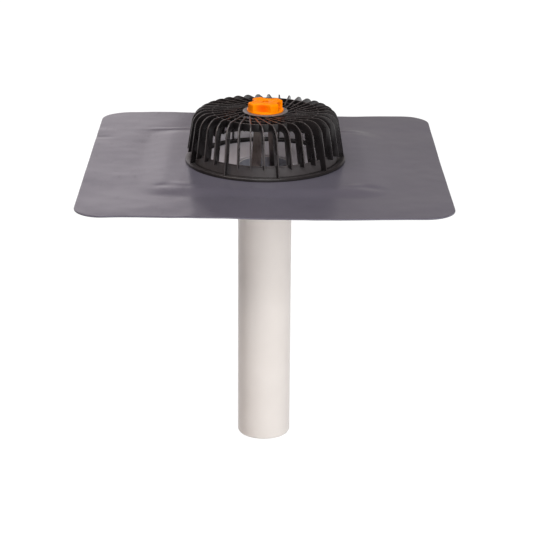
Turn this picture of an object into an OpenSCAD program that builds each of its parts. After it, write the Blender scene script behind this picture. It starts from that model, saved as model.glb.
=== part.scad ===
// Flat roof drain: a welded membrane sheet on a moulded drain body with a
// push-in outlet pipe, a loose base ring, and a swirled leaf guard that a
// screw knob pulls down onto the ring against a sprung yoke in the pipe.
// Millimetres. The origin is on the drain's axis, level with the top of the
// membrane where it lies on the plate, and +Z is up.

/* [Membrane] */
// Width of the membrane sheet, left to right
membrane_w = 490; // [400:1:700]
// Depth of the membrane sheet, front to back
membrane_d = 515; // [400:1:700]
// Thickness of the membrane sheet
membrane_t = 1.8; // [1.2:0.1:3]
// Radius of the membrane's corners
membrane_corner_r = 40; // [10:1:70]
// Gap between the membrane's hole and the lip of the dish
membrane_gap = 0.3; // [0.1:0.1:1]
// Width of the slope where the membrane falls from the plate to the roof deck
membrane_slope_w = 40; // [15:1:60]

/* [Drain body] */
// Side of the square plate that carries the membrane
plate_w = 266; // [250:1:320]
// Thickness of the plate
plate_t = 3; // [2:0.5:6]
// Radius of the plate's corners
plate_corner_r = 12; // [4:1:30]
// Radius of the dish, to the outside of its lip
dish_r = 93; // [88:0.5:94]
// Width of the level lip round the dish
dish_lip_w = 3; // [2:0.5:6]
// Fall of the dish from its lip to the throat
dish_fall = 3.5; // [2:0.5:10]
// Radius of the throat above the pipe
throat_r = 36.6; // [36:0.1:37.2]
// Height of the throat above the pipe's end
throat_h = 3; // [2:0.5:8]
// Wall of the dish and of the socket
body_wall = 3; // [2:0.5:4]
// Depth to which the pipe is pushed into the socket
socket_depth = 56; // [45:1:80]
// Gap round the pipe in its socket
socket_gap = 0.2; // [0.1:0.1:0.5]
// Width of the chamfer at the socket's mouth
socket_lead = 0.4; // [0.2:0.1:0.5]
// Number of stiffening ribs under the plate
rib_count = 12; // [6:1:24]
// Thickness of a rib
rib_t = 3; // [2:0.5:5]
// Height of a rib at the socket
rib_h = 26; // [15:1:30]

/* [Outlet pipe] */
// Outside diameter of the pipe
pipe_d = 75; // [74.6:0.1:75.6]
// Wall of the pipe
pipe_wall = 2.3; // [1.8:0.1:3]
// Length of the pipe
pipe_len = 403.5; // [200:0.5:600]
// Step by which the pipe's end in the socket is slimmer than the rest
pipe_step = 0.5; // [0.3:0.1:0.8]
// Gap between the socket's mouth and the step
pipe_step_gap = 0.5; // [0.2:0.1:1]
// Width of the chamfer on the outside of the pipe's lower end
pipe_chamfer_w = 1.2; // [0.5:0.1:2]
// Height of that chamfer
pipe_chamfer_h = 2.4; // [1:0.1:4]

/* [Pipe seal] */
// Height of the seal
seal_h = 8; // [6:0.5:12]
// Depth of the seal's groove outside the pipe
seal_groove = 4.5; // [3.5:0.5:6]
// Distance of the seal's groove above the socket's mouth
seal_offset = 6; // [4:0.5:12]
// Height over which each of the seal's two lips bears on the pipe
seal_lip_flat = 1; // [0.5:0.1:1.5]

/* [Base ring] */
// Gap between the dish's lip and the ring's foot
ring_foot_gap = 1; // [0.5:0.1:2]
// Width of the ring's foot inside its wall
ring_foot_w = 3.4; // [2.5:0.1:6]
// Width of the flange outside the wall's rim
ring_flange_w = 11.4; // [10:0.1:20]
// Height of the ring's flange
ring_flange_h = 4.2; // [3:0.1:6]
// Height of the ring's rim above the membrane
ring_rim_h = 16; // [12:0.5:24]
// Spread of the outer wall from the rim down to the flange
ring_wall_spread = 2; // [0:0.1:2.5]
// Thickness of the wall at the rim
ring_wall_t = 2.2; // [1.5:0.1:2.6]
// Width of the groove between wall and bead
ring_groove_w = 1.8; // [1:0.1:2.5]
// Depth of the groove
ring_groove_d = 1.6; // [0.8:0.1:2.2]
// Radius of the bead's outer edge
ring_bead_r = 1.6; // [0.8:0.1:2]
// Spread of the inner wall from the rim down to the foot
ring_inner_spread = 1; // [0.5:0.1:1.5]

/* [Leaf guard] */
// Number of fins
fin_count = 36; // [24:4:40]
// Every so many fins one reaches down to the ring's flange
foot_every = 4; // [2:1:6]
// Thickness of a fin
fin_t = 2; // [1.6:0.1:2.6]
// Radius of the circle that all the fins are tangent to
swirl_r = 22; // [12:1:26]
// Turn of the first footed fin about the axis
guard_turn = 21.7; // [0:0.1:40]
// Height of the fins' shoulders above the membrane
guard_h = 71.7; // [60:0.1:90]
// Fall of the fins' top edges from the shoulders to the hub
top_fall = 2.6; // [1:0.1:4]
// Distance that the fins stand out beyond the ring's rim
fin_reach = 8.2; // [6:0.1:9]
// Lean of the fins' outer edge from the vertical, in degrees
fin_lean = 9; // [4:0.5:12]
// Radius of the shoulder at the top of the fins' outer edge
shoulder_r = 20; // [12:0.5:28]
// Depth of a fin across its upright part
fin_depth = 13.3; // [11:0.1:14]
// Depth of a fin under the top
top_bar_h = 11; // [9:0.5:14]
// Radius of the fillet inside a fin's bend
fin_fillet_r = 6; // [3:0.5:10]
// Distance that the fins reach below the top of the hoop
fin_overhang = 3.5; // [2:0.1:5]
// Height of the hoop that ties the fins' lower ends
hoop_h = 2.6; // [1.5:0.1:4]
// Outside radius of the deep skirt under the top
skirt_r = 74; // [66:0.5:78]
// Height of the skirt
skirt_h = 7; // [4:0.5:10]
// Outside radii of the two slim rings under the top
top_rings = [57, 43];
// Height of the slim rings
top_ring_h = 4; // [2:0.5:8]
// Wall of the hoop, the skirt and the rings
guard_wall = 2; // [1.5:0.1:3]
// Distance that the rings lie below the fins' top edges
top_ring_inset = 1.6; // [0.5:0.1:3]
// Radius of the hub disc
hub_r = 30.5; // [27:0.5:34]
// Height by which the hub's seat stands above the fins' top edges
hub_rise = 0.2; // [0.1:0.1:0.8]
// Thickness of the hub disc
hub_t = 3.5; // [3:0.5:6]
// Radius of the boss under the hub disc
hub_boss_r = 11; // [10:0.5:16]
// Depth of the boss below the hub's seat
hub_boss_h = 6; // [4.5:0.5:6]

/* [Yoke] */
// Width of the yoke's strip
yoke_w = 14; // [10:1:18]
// Thickness of the yoke's strip
yoke_t = 1.5; // [1.2:0.1:2.5]
// Turn of the yoke about the axis
yoke_turn = -115.4; // [-180:0.1:180]
// Half of the width of the yoke's crown
yoke_crown_r = 20; // [17:0.5:22]
// Radius of the bends beside the crown
yoke_bend_r = 4; // [3:0.5:6]
// Distance of the crown's top below the hub's seat
yoke_drop = 13; // [13:0.5:20]
// Depth of the yoke's feet below the pipe's upper end
yoke_reach = 39; // [34:1:60]
// Length of the yoke's upright feet
yoke_foot_h = 16; // [12:1:24]
// Thickness of the rubber shoes between the feet and the pipe
shoe_t = 1.3; // [1:0.1:2]
// Height of the lip by which a shoe wraps its foot
shoe_wrap = 2; // [1.5:0.1:4]

/* [Stud] */
// Diameter of the stud's thread
stud_d = 8; // [6:0.5:8]
// Pitch of the thread, the knob's rise in one turn
stud_pitch = 1.25; // [1:0.05:1.5]
// Diameter of the stud's round head
stud_head_d = 19; // [15:0.5:22]
// Height of the stud's round head
stud_head_h = 4; // [3:0.5:6]
// Height of the upright rim of the head
stud_head_rim = 1; // [0.5:0.1:2]
// Chamfer at the stud's upper end
stud_chamfer = 1; // [0.5:0.1:1.5]
// Distance of the stud's end below the knob's top
stud_recess = 3; // [2:0.5:5]
// Width of the lock nut across its flats
nut_af = 13; // [10:0.5:14]
// Height of the lock nut
nut_h = 6.5; // [5:0.5:6.5]

/* [Knob] */
// Radius of the knob's round base
knob_r = 25.2; // [22:0.1:28]
// Height of the knob
knob_h = 13.3; // [12:0.1:20]
// Height of the round base below the lobes
knob_base_h = 2.4; // [1.5:0.1:4]
// Radius of the base's upper edge
knob_base_edge_r = 0.8; // [0.4:0.1:1]
// Distance of the lobes' outer faces inside the base's edge, and chamfer under the base
knob_lobe_inset = 0.6; // [0.3:0.1:1.5]
// Number of lobes
lobe_count = 6; // [5:1:8]
// Turn of the first scallop about the axis
lobe_turn = -105; // [-180:1:180]
// Radius of the scallops
scallop_r = 10; // [8:0.5:11]
// Depth of the scallops
scallop_depth = 6.6; // [4:0.1:7.5]
// Radius of the knob's rounded top edge
knob_edge_r = 2.4; // [1:0.1:3.5]
// Radius of the hole in the knob's top
knob_hole_r = 4.6; // [4.5:0.1:6]
// Thickness of the knob's roof over the insert
knob_roof_t = 3.5; // [2.5:0.5:5]
// Radius of the threaded insert in the knob
insert_r = 6.4; // [5.5:0.1:8]
// Gap between the stud and what turns on it
stud_gap = 0.1; // [0.05:0.01:0.2]
// Radius of the washer under the knob
washer_r = 31.2; // [28:0.1:34]
// Thickness of the washer
washer_t = 0.8; // [0.6:0.1:2]
// Gap between the insert's neck and the washer that it holds
washer_gap = 0.4; // [0.3:0.1:0.8]

/* [Hidden] */
$fn = 96;

// Overlap of shapes that make one piece, and overrun of cuts
join = 1;
cut = 1;
// Small edge breaks
edge = 0.6;

// Levels of the body
plate_top = -membrane_t;
plate_bottom = plate_top - plate_t;
throat_top = -dish_fall;
pipe_top = throat_top - throat_h;
socket_mouth = pipe_top - socket_depth;
pipe_step_z = socket_mouth - pipe_step_gap;
seal_bottom = socket_mouth + seal_offset;

// Underside of the dish, and radii of the pipe and its socket
pipe_r = pipe_d / 2;
pipe_end_r = pipe_r - pipe_step;
bore_r = pipe_r - pipe_wall;
socket_r = pipe_end_r + socket_gap;
groove_r = pipe_r + seal_groove;
socket_out_r = socket_r + body_wall;
bead_out_r = groove_r + body_wall;
throat_edge_r = 1;
dish_under = min(throat_top - body_wall, plate_bottom - edge);
dish_foot_r = dish_r - dish_lip_w - body_wall;

// Base ring, which stands round the dish's lip
ring_foot_r = dish_r + ring_foot_gap;
ring_rim_in_r = ring_foot_r + ring_foot_w;
ring_rim_r = ring_rim_in_r + ring_wall_t;
ring_r = ring_rim_r + ring_flange_w;
ring_wall_foot_r = ring_rim_r + ring_wall_spread;
bead_in_r = ring_wall_foot_r + ring_groove_w;

// Leaf guard, whose hoop stands on the ring's rim
guard_r = ring_rim_r + fin_reach;
hoop_bottom = ring_rim_h;
hoop_top = hoop_bottom + hoop_h;
fin_bottom = hoop_top - fin_overhang;
shoulder_in = guard_h - shoulder_r;
foot_gap = 0.3;
slot_gap = 0.4;
foot_bottom = ring_flange_h + foot_gap;
slot_in_r = ring_rim_in_r - slot_gap;
slot_top = hoop_bottom + slot_gap;
prong_w = 2.4;
hoop_inset = 0.1;
fin_join = 0.8;
hub_lap = 2;
hub_seat = guard_h - top_fall + hub_rise;
hub_boss_bottom = hub_seat - hub_boss_h;
hub_bore_gap = 0.6;

// Yoke and stud
crown_top = hub_seat - yoke_drop;
foot_face_r = bore_r - shoe_t;
yoke_end = pipe_top - yoke_reach;
stud_r = stud_d / 2;
crown_hole_gap = 0.1;

// Washer, knob and insert
knob_gap = 0.1;
insert_neck_wall = 1.4;
insert_lip_w = 1.2;
insert_lip_h = 1;
counterbore_gap = 0.5;
counterbore_floor_gap = 0.3;
washer_top = hub_seat + washer_t;
knob_bottom = washer_top + knob_gap;
knob_top = knob_bottom + knob_h;
stud_top = knob_top - stud_recess;
insert_top = knob_top - knob_roof_t;
insert_neck_r = stud_r + insert_neck_wall;
washer_bore_r = insert_neck_r + washer_gap;
insert_lip_r = washer_bore_r + insert_lip_w;
insert_bottom = hub_seat - washer_gap - insert_lip_h;
counterbore_r = insert_lip_r + counterbore_gap;
counterbore_floor = insert_bottom - counterbore_floor_gap;

membrane_grey = [0.42, 0.4, 0.44];
body_grey = [0.36, 0.35, 0.38];
pipe_cream = [0.9, 0.87, 0.84];
guard_black = [0.09, 0.085, 0.09];
rubber_black = [0.06, 0.06, 0.06];
steel = [0.62, 0.62, 0.64];
washer_grey = [0.62, 0.6, 0.62];
brass = [0.75, 0.6, 0.3];
orange = [1, 0.52, 0.02];

// ---- Outline helpers ------------------------------------------------------

// Points on an arc about c, from angle a0 to angle a1
function arc(c, r, a0, a1, n = 8) =
    [for (i = [0:n]) c + r * [cos(a0 + (a1 - a0) * i / n), sin(a0 + (a1 - a0) * i / n)]];

// Both sides of a strip of thickness t along a line of points, as one outline
function strip(line, t) =
    let (last = len(line) - 1,
         side = [for (i = [0:last])
             let (a = line[i] - line[max(i - 1, 0)],
                  b = line[min(i + 1, last)] - line[i],
                  u = unit(i == 0 ? b : a),
                  v = unit(i == last ? a : b),
                  n = unit([-u.y - v.y, u.x + v.x]))
             n / (n * [-u.y, u.x])])
    concat([for (i = [0:last]) line[i] + side[i] * t / 2],
           [for (i = [last:-1:0]) line[i] - side[i] * t / 2]);
function unit(v) = v / norm(v);

module rounded_rect(w, d, r) {
    square([w - 2 * r, d], center = true);
    square([w, d - 2 * r], center = true);
    for (x = [-1, 1], y = [-1, 1]) translate([x * (w / 2 - r), y * (d / 2 - r)]) circle(r);
}

module tube(r_out, r_in, z0, z1) {
    translate([0, 0, z0]) linear_extrude(z1 - z0) difference() {
        circle(r_out);
        circle(r_in);
    }
}

// ---- Membrane, body and pipe ----------------------------------------------

// Section of the slope from the plate's edge down to the deck, with both sides eased alike
function slope_section() =
    let (steps = 8,
         r0 = plate_corner_r + join,
         line = concat([[r0 - join, 0]],
                       [for (i = [0:steps])
                           [r0 + membrane_slope_w * i / steps, -plate_t * (1 - cos(180 * i / steps)) / 2]],
                       [[r0 + membrane_slope_w + join, -plate_t]]))
    concat(line, [for (i = [len(line) - 1:-1:0]) line[i] - [0, membrane_t]]);

// A section carried round the plate: straight along its sides and turned at its corners
module round_the_plate(core) {
    for (i = [0:3]) rotate(i * 90) {
        translate([core, 0, 0]) rotate([90, 0, 0]) linear_extrude(core * 2, center = true) children();
        translate([core, core, 0]) rotate_extrude(angle = 90) children();
    }
}

module membrane() {
    core = plate_w / 2 - plate_corner_r;
    top_r = plate_corner_r + join;
    low_r = top_r + membrane_slope_w;
    color(membrane_grey) {
        translate([0, 0, plate_top]) linear_extrude(membrane_t) difference() {
            rounded_rect((core + top_r) * 2, (core + top_r) * 2, top_r);
            circle(dish_r + membrane_gap);
        }
        round_the_plate(core) polygon(slope_section());
        translate([0, 0, plate_bottom]) linear_extrude(membrane_t) difference() {
            rounded_rect(membrane_w, membrane_d, membrane_corner_r);
            rounded_rect((core + low_r) * 2, (core + low_r) * 2, low_r);
        }
    }
}

// Height of the dish's surface: level at the throat and steeper to its lip
function dish_z(r) =
    let (r0 = throat_r + throat_edge_r, r1 = dish_r - dish_lip_w)
    throat_top + dish_fall * pow((r - r0) / (r1 - r0), 2);

// Section of the dish, throat and socket, which is one wall all through
function body_section() =
    let (steps = 10,
         r0 = throat_r + throat_edge_r, r1 = dish_r - dish_lip_w)
    concat(
        [[dish_r, plate_bottom], [dish_r, 0]],
        [for (i = [steps:-1:1]) let (r = r0 + (r1 - r0) * i / steps) [r, dish_z(r)]],
        arc([r0, throat_top - throat_edge_r], throat_edge_r, 90, 180, 6),
        [[throat_r, pipe_top], [socket_r, pipe_top],
         [socket_r, seal_bottom + seal_h], [groove_r, seal_bottom + seal_h],
         [groove_r, seal_bottom], [socket_r, seal_bottom],
         [socket_r, socket_mouth + socket_lead], [socket_r + socket_lead, socket_mouth],
         [socket_out_r, socket_mouth], [bead_out_r, seal_bottom - body_wall / 2],
         [bead_out_r, seal_bottom + seal_h + body_wall / 2],
         [socket_out_r, seal_bottom + seal_h + body_wall + seal_groove],
         [socket_out_r, pipe_top - body_wall], [socket_out_r + body_wall, dish_under],
         [dish_foot_r, dish_under]]);

// A rib from the socket to the dish's outer edge, inside the deck's opening
module rib() {
    root = socket_out_r - body_wall / 2;
    top = dish_under + body_wall / 2;
    reach = dish_foot_r - join;
    rotate([90, 0, 0]) linear_extrude(rib_t, center = true)
        polygon([[root, dish_under - rib_h], [socket_out_r + rib_t, dish_under - rib_h],
                 [reach, dish_under - rib_t], [reach, top], [root, top]]);
}

module drain_body() {
    color(body_grey) {
        translate([0, 0, plate_bottom]) linear_extrude(plate_t) difference() {
            rounded_rect(plate_w, plate_w, plate_corner_r);
            circle(dish_r - join);
        }
        rotate_extrude() polygon(body_section());
        for (i = [0:rib_count - 1]) rotate(i * 360 / rib_count) rib();
    }
}

module outlet_pipe() {
    end = pipe_top - pipe_len;
    color(pipe_cream) rotate_extrude()
        polygon([[bore_r, pipe_top], [pipe_end_r, pipe_top], [pipe_end_r, pipe_step_z],
                 [pipe_r, pipe_step_z], [pipe_r, end + pipe_chamfer_h],
                 [pipe_r - pipe_chamfer_w, end], [bore_r, end]]);
}

// A ring of rubber with two lips that bear on the pipe's slimmer end
module pipe_seal() {
    gap = 0.2;
    back = groove_r - gap / 2;
    neck = (pipe_end_r + groove_r) / 2;
    lip_h = seal_h / 2 - gap;
    middle = seal_bottom + seal_h / 2;
    color(rubber_black) rotate_extrude()
        polygon(concat(
            [[back, middle - lip_h], [back, middle + lip_h], [neck, middle + lip_h]],
            seal_lip(middle + lip_h / 2),
            [[neck, middle]],
            seal_lip(middle - lip_h / 2),
            [[neck, middle - lip_h]]));
}

// The bearing end of a lip whose middle is at height z
function seal_lip(z) = [[pipe_end_r, z + seal_lip_flat / 2], [pipe_end_r, z - seal_lip_flat / 2]];

// ---- Base ring and leaf guard ---------------------------------------------

// Section: a flange with a rounded bead, a groove, and the wall up to the rim
module base_ring() {
    groove_z = ring_flange_h - ring_groove_d;
    color(guard_black) rotate_extrude()
        polygon(concat(
            [[ring_foot_r, 0], [ring_r - edge, 0], [ring_r, edge]],
            arc([ring_r - ring_bead_r, ring_flange_h - ring_bead_r], ring_bead_r, 0, 90, 5),
            [[bead_in_r + edge, ring_flange_h], [bead_in_r, ring_flange_h - edge],
             [bead_in_r, groove_z], [ring_wall_foot_r, groove_z],
             [ring_rim_r, ring_rim_h], [ring_rim_in_r, ring_rim_h],
             [ring_rim_in_r + ring_inner_spread, ring_flange_h],
             [ring_foot_r + edge, ring_flange_h], [ring_foot_r, ring_flange_h - edge]]));
}

// Distance along a fin at which it is at radius r
function along(r) = sqrt(r * r - swirl_r * swirl_r);

// Outside radius of the leaning edge at height z
function edge_r(z) = guard_r - (z - hoop_bottom) * tan(fin_lean);

// Centre of the arc of a fin's shoulder: distance along the fin, and height
function shoulder_centre() =
    let (z = guard_h - shoulder_r)
    [along(edge_r(z + shoulder_r * sin(fin_lean))) - shoulder_r * cos(fin_lean), z];

// Height of a fin's top edge at distance d along it: it falls evenly from the shoulder to the hub
function top_z(d) =
    let (shoulder = shoulder_centre().x)
    guard_h - top_fall * (shoulder - d) / (shoulder - along(hub_r));

// The outline of a fin: distance along it, and height
function fin_outline(start_r, foot) =
    let (c = shoulder_centre(),
         inner = function (z) along(edge_r(z) - fin_depth),
         under = guard_h - top_bar_h,
         start = along(start_r),
         bend = [inner(under - fin_fillet_r) - fin_fillet_r, under - fin_fillet_r])
    concat(
        [[start, top_z(start)]],
        arc(c, shoulder_r, 90, fin_lean, 10),
        fin_end(foot ? foot_bottom : fin_bottom),
        arc(bend, fin_fillet_r, fin_lean, 90, 5),
        [[start, under]]);

// Radius of the slot's outer side at height z, which follows the ring's leaning wall
function slot_r(z) =
    let (wall_h = ring_rim_h - ring_flange_h + ring_groove_d)
    ring_rim_r + slot_gap + ring_wall_spread * (ring_rim_h - z) / wall_h;

// The lower end of a fin, with the slot that stands over the ring's wall
function fin_end(bottom) =
    [[along(edge_r(bottom)), bottom], [along(slot_r(bottom)), bottom],
     [along(slot_r(slot_top)), slot_top], [along(slot_in_r), slot_top],
     [along(slot_in_r), bottom], [along(slot_in_r - prong_w), bottom],
     [along(slot_in_r - prong_w), slot_top]];

module fin(start_r, foot) {
    translate([-swirl_r, 0, 0]) rotate([90, 0, -90])
        linear_extrude(fin_t, center = true) polygon(fin_outline(start_r, foot));
}

// Every other fin starts at the hub and the rest at the inner ring, because they would crowd
module fins() {
    for (k = [0:fin_count - 1])
        rotate(guard_turn + k * 360 / fin_count)
            fin(k % 2 == 0 ? hub_r - hub_lap : top_rings[1] - guard_wall + fin_join, k % foot_every == 0);
}

module hub() {
    difference() {
        union() {
            translate([0, 0, hub_seat - hub_t]) cylinder(r = hub_r, h = hub_t);
            translate([0, 0, hub_boss_bottom]) cylinder(r = hub_boss_r, h = hub_boss_h - join);
        }
        translate([0, 0, hub_boss_bottom - cut]) cylinder(r = stud_r + hub_bore_gap, h = hub_boss_h);
        translate([0, 0, counterbore_floor]) cylinder(r = counterbore_r, h = hub_boss_h);
    }
}

// A ring under the fins' top edges
module top_ring(r, h) {
    top = top_z(along(r)) - top_ring_inset;
    tube(r, r - guard_wall, top - h, top);
}

module leaf_guard() {
    color(guard_black) {
        fins();
        hub();
        top_ring(skirt_r, skirt_h);
        for (r = top_rings) top_ring(r, top_ring_h);
        tube(ring_rim_r - hoop_inset, ring_rim_in_r + hoop_inset, hoop_bottom, hoop_top);
    }
}

// ---- Yoke, shoes and stud -------------------------------------------------

// Middle line of half of the yoke, from the crown out and down to the foot
function yoke_half() =
    let (z = crown_top - yoke_t / 2,
         r = foot_face_r - yoke_t / 2,
         bend = [yoke_crown_r - yoke_bend_r, z - yoke_bend_r],
         foot_top = yoke_end + yoke_foot_h,
         lean = atan((r - yoke_crown_r) / (bend.y - foot_top)))
    concat(arc(bend, yoke_bend_r, 90, lean, 4), [[r, foot_top], [r, yoke_end]]);

module yoke() {
    half = yoke_half();
    line = concat([for (i = [len(half) - 1:-1:0]) [-half[i].x, half[i].y]], half);
    hole_r = stud_r + crown_hole_gap;
    color(steel) rotate(yoke_turn) difference() {
        rotate([90, 0, 0]) linear_extrude(yoke_w, center = true) polygon(strip(line, yoke_t));
        translate([0, 0, crown_top - yoke_t - cut]) cylinder(r = hole_r, h = yoke_t + cut * 2);
    }
}

// A rubber shoe on the outside of a foot, with a lip under the strip's end
module shoe() {
    gap = 0.1;
    color(rubber_black) intersection() {
        tube(bore_r, foot_face_r - yoke_t - shoe_wrap, yoke_end - shoe_wrap, yoke_end + yoke_foot_h - 2);
        difference() {
            translate([foot_face_r - yoke_t - shoe_wrap, -yoke_w / 2, yoke_end - shoe_wrap])
                cube([shoe_t * 3 + yoke_t + shoe_wrap, yoke_w, yoke_foot_h + shoe_wrap - 2]);
            translate([foot_face_r - yoke_t - shoe_wrap * 2, -yoke_w, yoke_end - gap])
                cube([yoke_t + shoe_wrap * 2 + gap, yoke_w * 2, yoke_foot_h * 2]);
        }
    }
}

module front_shoe() {
    rotate(yoke_turn) shoe();
}

module back_shoe() {
    rotate(yoke_turn + 180) shoe();
}

// A screw with a round head under the crown, fixed there by the lock nut
module stud() {
    head_top = crown_top - yoke_t;
    head_r = stud_head_d / 2;
    dome_r = stud_head_h - stud_head_rim;
    thread_top = stud_top - stud_chamfer;
    color(steel) {
        rotate_extrude() polygon(concat(
            [[0, head_top - stud_head_h]],
            arc([head_r - dome_r, head_top - stud_head_rim], dome_r, -90, 0, 6),
            [[head_r, head_top], [0, head_top]]));
        translate([0, 0, head_top - join]) cylinder(r = stud_r, h = thread_top - head_top + join);
        translate([0, 0, thread_top]) cylinder(r1 = stud_r, r2 = stud_r - stud_chamfer, h = stud_chamfer);
    }
}

module lock_nut() {
    color(steel) translate([0, 0, crown_top]) difference() {
        cylinder(d = nut_af / cos(30), h = nut_h, $fn = 6);
        translate([0, 0, -cut]) cylinder(r = stud_r, h = nut_h + cut * 2);
    }
}

// ---- Washer and knob ------------------------------------------------------

module washer() {
    color(washer_grey) tube(washer_r, washer_bore_r, hub_seat, washer_top);
}

// Plan of the lobes: a disc with a scallop cut between each two
module lobes() {
    difference() {
        circle(knob_r - knob_lobe_inset);
        for (i = [0:lobe_count - 1])
            rotate(lobe_turn + i * 360 / lobe_count)
                translate([knob_r - scallop_depth + scallop_r, 0]) circle(scallop_r);
    }
}

// The knob's round base, with its lower edge chamfered and its upper edge rounded
module knob_base() {
    top = knob_bottom + knob_base_h;
    rotate_extrude() polygon(concat(
        [[0, knob_bottom], [knob_r - knob_lobe_inset, knob_bottom], [knob_r, knob_bottom + knob_lobe_inset]],
        arc([knob_r - knob_base_edge_r, top - knob_base_edge_r], knob_base_edge_r, 0, 90, 4),
        [[0, top]]));
}

// The lobes, cut from a disc with a rounded top edge
module knob_grip() {
    low = knob_bottom + join;
    grip_r = knob_r - knob_lobe_inset;
    intersection() {
        rotate_extrude() polygon(concat(
            [[0, low], [grip_r, low]],
            arc([grip_r - knob_edge_r, knob_top - knob_edge_r], knob_edge_r, 0, 90, 6),
            [[0, knob_top]]));
        translate([0, 0, low]) linear_extrude(knob_h) lobes();
    }
}

module knob() {
    color(orange) difference() {
        union() {
            knob_base();
            knob_grip();
        }
        translate([0, 0, knob_bottom - cut]) cylinder(r = insert_r, h = insert_top - knob_bottom + cut);
        translate([0, 0, knob_bottom]) cylinder(r = knob_hole_r, h = knob_h + cut);
    }
}

// A brass bush: its thread is on the stud, and its lip holds the washer captive
module knob_insert() {
    color(brass) difference() {
        union() {
            translate([0, 0, knob_bottom]) cylinder(r = insert_r, h = insert_top - knob_bottom);
            translate([0, 0, insert_bottom])
                cylinder(r = insert_neck_r, h = knob_bottom - insert_bottom + join);
            translate([0, 0, insert_bottom]) cylinder(r = insert_lip_r, h = insert_lip_h);
        }
        translate([0, 0, insert_bottom - cut])
            cylinder(r = stud_r + stud_gap, h = insert_top - insert_bottom + cut * 2);
    }
}

membrane();
drain_body();
outlet_pipe();
pipe_seal();
base_ring();
leaf_guard();
yoke();
front_shoe();
back_shoe();
stud();
lock_nut();
washer();
knob();
knob_insert();
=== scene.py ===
"""Looks for a flat roof drain: membrane, drain body, pipe, base ring, leaf guard, yoke and screw knob.

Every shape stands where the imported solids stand. The sizes come first, then the finishes, the camera and the
lights, one function for each piece, and last the list that makes the pieces.
"""

import math

import bmesh
import bpy
from mathutils import Matrix, Vector, noise


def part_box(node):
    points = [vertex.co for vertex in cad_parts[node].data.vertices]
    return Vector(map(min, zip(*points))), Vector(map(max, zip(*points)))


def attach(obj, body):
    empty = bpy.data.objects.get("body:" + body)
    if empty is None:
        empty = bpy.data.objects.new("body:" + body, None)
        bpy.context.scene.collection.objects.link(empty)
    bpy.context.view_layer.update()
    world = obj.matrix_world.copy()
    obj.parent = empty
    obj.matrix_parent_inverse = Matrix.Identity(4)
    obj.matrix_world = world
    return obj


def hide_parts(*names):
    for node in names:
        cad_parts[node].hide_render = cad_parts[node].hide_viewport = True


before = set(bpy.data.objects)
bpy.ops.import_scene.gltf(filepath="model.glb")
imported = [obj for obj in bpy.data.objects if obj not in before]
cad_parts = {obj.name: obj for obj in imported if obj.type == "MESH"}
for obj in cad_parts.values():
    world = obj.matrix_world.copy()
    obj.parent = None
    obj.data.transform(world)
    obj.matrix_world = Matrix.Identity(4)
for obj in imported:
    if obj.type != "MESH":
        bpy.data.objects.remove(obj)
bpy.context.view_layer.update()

MM = 0.001


def box(node):
    """The low and the high corner of a node's solid, in millimetres."""
    return [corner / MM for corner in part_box(node)]


# ---------------------------------------------------------------- sizes in millimetres, angles in degrees

membrane_high = box("membrane")[1]
plate_low, plate_high = box("drain_body")
pipe_low, pipe_high = box("outlet_pipe")
seal_low, seal_high = box("pipe_seal")
ring_high = box("base_ring")[1]
guard_low, guard_high = box("leaf_guard")
yoke_low, yoke_high = box("yoke")
stud_low, stud_high = box("stud")
nut_low, nut_high = box("lock_nut")
washer_low, washer_high = box("washer")
knob_low, knob_high = box("knob")
insert_low, insert_high = box("knob_insert")

# Membrane: FREE_W is how far from the plate the sheet lies quite loose.
MEMBRANE_T = 1.8
MEMBRANE_CORNER_R = 40
MEMBRANE_HOLE_R = 93.3
MEMBRANE_SLOPE_W = 40
FREE_W = 70
SHEET_ROUND = 420
SHEET_OUT = 80

# Drain body, pipe and seal.
PLATE_HALF = 133
PLATE_T = 3
PLATE_CORNER_R = 12
DISH_R = 93
DISH_LIP = 3
DISH_FALL = 3.5
DISH_UNDER = -6.5
DISH_STEPS = 24
THROAT_R = 36.6
THROAT_EASE = 1.5
SOCKET_R = 37.2
SEAL_GAP = 0.2
BODY_WALL = 3
RIB_COUNT = 12
RIB_REACH = 86
RIB_H = 26
RIB_T = 3
RIB_ROOT = 1.5
PIPE_R = pipe_high.x
PIPE_END_R = PIPE_R - 0.5
PIPE_BORE_R = PIPE_R - 2.3
PIPE_STEP_Z = plate_low.z - 0.5

# Base ring: its wall leans in from the foot to the rim, outside a groove in the flange.
RING_R = ring_high.x
RING_FOOT_R = 94
FLANGE_H = 4.2
GROOVE_D = 1.6
GROOVE_W = 1.8
RIM_R = 99.6
WALL_T = 2.2
WALL_LEAN = 2
WALL_FOOT_R = RIM_R + WALL_LEAN
LINING_T = 0.3

# Leaf guard: fins that miss the axis by SWIRL_R, and hoops as name, outer radius and height.
FIN_COUNT = 36
FOOT_EVERY = 4
FIN_T = 2
FIN_DEPTH = 13.3
FIN_LEAN = 9
FIN_BEND_R = 6
SHORT_FIN_R = 41.8
SHORT_FIN_REACH = 0.9
PRONG_W = 2.4
SLOT_GAP = 0.4
SWIRL_R = 22
GUARD_TURN = 21.7
GUARD_R = 107.8
GUARD_H = guard_high.z
TOP_FALL = 2.6
TOP_BAR_H = 11
SHOULDER_R = 20
LIMB_R = 84
HUB_R = 30.5
LONG_FIN_R = HUB_R - 2
HUB_T = 3.5
HUB_SEAT = washer_low.z
BOSS_R = 11
BOSS_H = 6
RECESS_R = 7.5
RECESS_D = 1.7
HOOPS = (("skirt", 74, 10.5), ("middle_ring", 57, 4), ("inner_ring", 43, 4))
HOOP_T = 2
HOOP_SINK = 1.6
FOOT_HOOP_H = 2.6

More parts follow.
